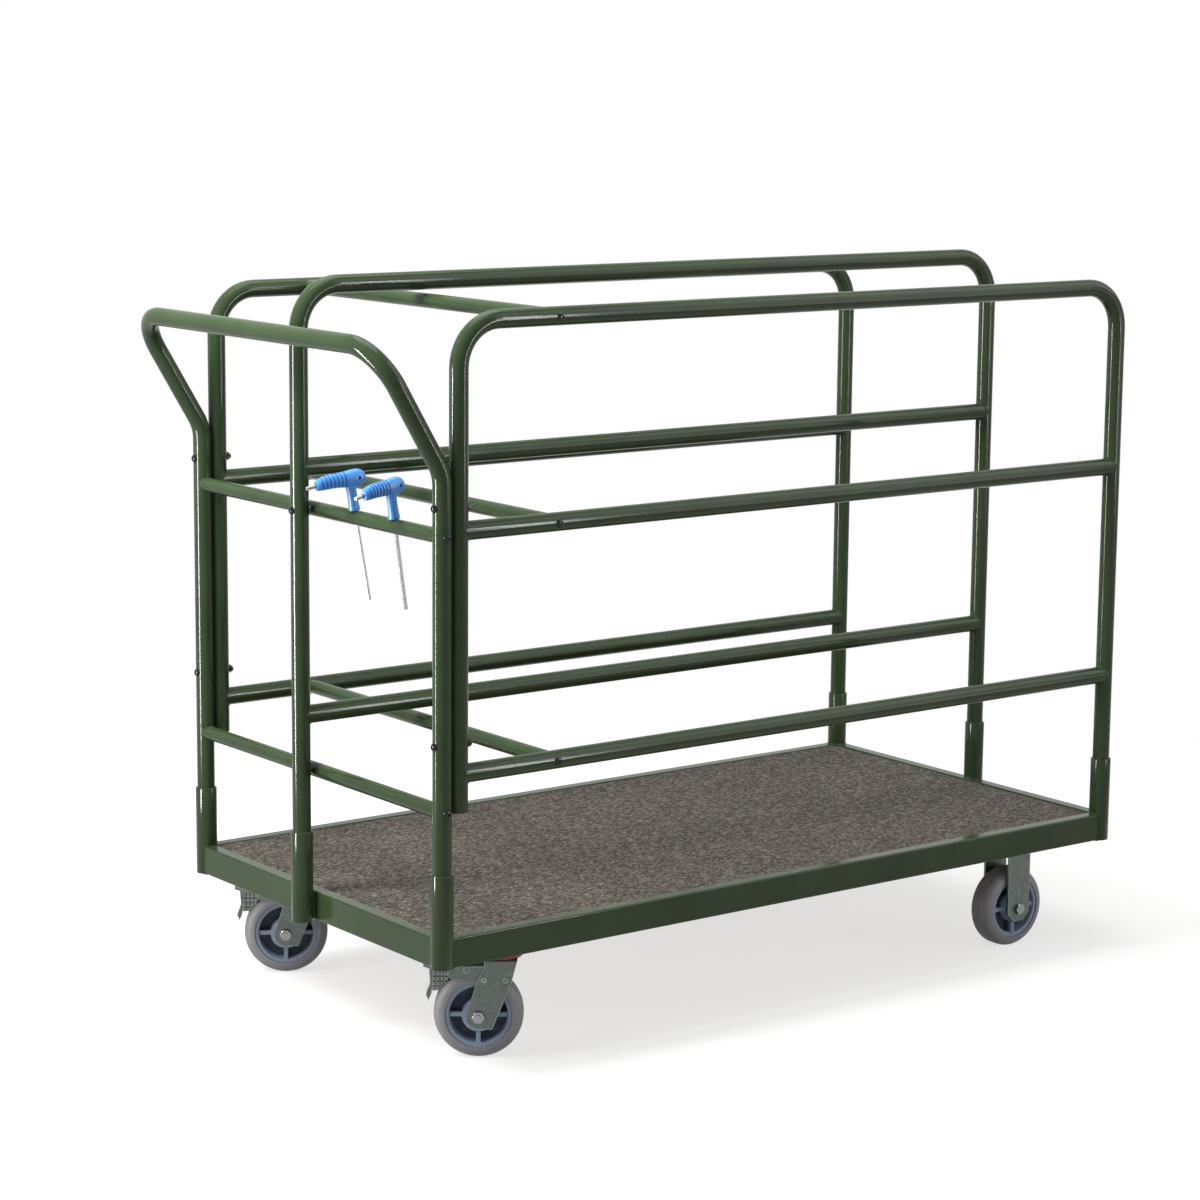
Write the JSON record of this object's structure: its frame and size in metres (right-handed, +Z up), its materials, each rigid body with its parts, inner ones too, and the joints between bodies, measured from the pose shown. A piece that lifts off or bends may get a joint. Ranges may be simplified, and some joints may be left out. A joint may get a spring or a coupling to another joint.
{
  "type": "panel cart",
  "caption": "Steel platform cart with side hoops, a centre divider, a push handle, braked swivel casters, rigid casters and hung hex keys, for moving floor panels on edge.",
  "frame": {"origin": "on the floor, under the middle of the deck", "axes": "+X along the cart away from the push handle, +Y across it, +Z up"},
  "size_m": [1.7157, 0.8054, 1.3062],
  "materials": {
    "green_paint": "glossy dark green paint",
    "zinc_plate": "dull zinc plate",
    "black_oxide": "black oxide",
    "bright_steel": "bright nickel plate",
    "grey_tyre": "grey rubber",
    "grey_core": "blue-grey moulding",
    "blue_grip": "bright blue moulding",
    "red_seal": "red moulding",
    "plywood": "plain plywood",
    "carpet": "heathered loop carpet"
  },
  "bodies": {
    "cart": {"back_deck_rail": "green_paint", "back_hoop": "green_paint", "back_hoop_rails": "green_paint", "caster_bolts": "zinc_plate", "caster_weld_nuts": "zinc_plate", "corner_sockets": "green_paint", "cross_bar_bolts": "black_oxide", "cross_bars": "green_paint", "deck_board": "plywood", "deck_carpet": "carpet", "deck_cross_members": "green_paint", "divider_bolt": "black_oxide", "divider_hoop": "green_paint", "divider_rails": "green_paint", "divider_sockets": "green_paint", "divider_spacer": "zinc_plate", "end_rail_bolts": "black_oxide", "far_end_deck_rail": "green_paint", "front_deck_rail": "green_paint", "front_hoop": "green_paint", "front_hoop_rails": "green_paint", "handle_end_deck_rail": "green_paint", "handle_frame": "green_paint", "handle_lower_rail": "green_paint", "handle_mid_rail": "green_paint", "hoop_bolts": "black_oxide", "hoop_cap_nuts": "black_oxide", "kingpins": "zinc_plate", "rigid_axles": "zinc_plate", "rigid_brackets": "zinc_plate", "rigid_sleeves": "zinc_plate", "swivel_plates": "zinc_plate"},
    "front_swivel": {"front_yoke": "zinc_plate", "front_dust_ring": "red_seal", "front_brake_housing": "zinc_plate", "front_brake_rivets": "zinc_plate", "front_swivel_axle": "zinc_plate", "front_swivel_sleeve": "zinc_plate"},
    "front_swivel_wheel": {"front_swivel_tyre": "grey_tyre", "front_swivel_core": "grey_core"},
    "front_brake": {"front_brake_pedal": "zinc_plate"},
    "front_rigid_wheel": {"front_rigid_tyre": "grey_tyre", "front_rigid_core": "grey_core"},
    "back_swivel": {"back_yoke": "zinc_plate", "back_dust_ring": "red_seal", "back_brake_housing": "zinc_plate", "back_brake_rivets": "zinc_plate", "back_swivel_axle": "zinc_plate", "back_swivel_sleeve": "zinc_plate"},
    "back_swivel_wheel": {"back_swivel_tyre": "grey_tyre", "back_swivel_core": "grey_core"},
    "back_brake": {"back_brake_pedal": "zinc_plate"},
    "back_rigid_wheel": {"back_rigid_tyre": "grey_tyre", "back_rigid_core": "grey_core"},
    "inner_key": {"inner_key_grip": "blue_grip", "inner_key_blade": "bright_steel"},
    "outer_key": {"outer_key_grip": "blue_grip", "outer_key_blade": "bright_steel"}
  },
  "joints": [
    {"name": "front_swivel_turn", "type": "hinge", "parent": "cart", "child": "front_swivel", "pos_m": [-0.593, -0.311, 0.19685], "axis": [0, 0, 1], "continuous": true},
    {"name": "front_swivel_wheel_spin", "type": "hinge", "parent": "front_swivel", "child": "front_swivel_wheel", "pos_m": [-0.62335, -0.28813, 0.0762], "axis": [-0.6018, -0.7986, 0], "continuous": true},
    {"name": "front_brake_tip", "type": "hinge", "parent": "front_swivel", "child": "front_brake", "pos_m": [-0.63892, -0.2764, 0.1572], "axis": [-0.6018, -0.7986, 0], "range_deg": [-8, 0]},
    {"name": "front_rigid_wheel_spin", "type": "hinge", "parent": "cart", "child": "front_rigid_wheel", "pos_m": [0.59, -0.311, 0.0762], "axis": [0, 1, 0], "continuous": true},
    {"name": "back_swivel_turn", "type": "hinge", "parent": "cart", "child": "back_swivel", "pos_m": [-0.593, 0.311, 0.19685], "axis": [0, 0, 1], "continuous": true},
    {"name": "back_swivel_wheel_spin", "type": "hinge", "parent": "back_swivel", "child": "back_swivel_wheel", "pos_m": [-0.62487, 0.3317, 0.0762], "axis": [-0.5446, -0.8387, 0], "continuous": true},
    {"name": "back_brake_tip", "type": "hinge", "parent": "back_swivel", "child": "back_brake", "pos_m": [-0.64122, 0.34232, 0.1572], "axis": [-0.5446, -0.8387, 0], "range_deg": [-8, 0]},
    {"name": "back_rigid_wheel_spin", "type": "hinge", "parent": "cart", "child": "back_rigid_wheel", "pos_m": [0.59, 0.311, 0.0762], "axis": [0, 1, 0], "continuous": true},
    {"name": "inner_key_lift", "type": "slide", "parent": "cart", "child": "inner_key", "axis": [-0.1727, 0.0182, 0.9848], "range_m": [0, 0.19]},
    {"name": "outer_key_lift", "type": "slide", "parent": "cart", "child": "outer_key", "axis": [-0.1699, -0.0361, 0.9848], "range_m": [0, 0.19]}
  ]
}
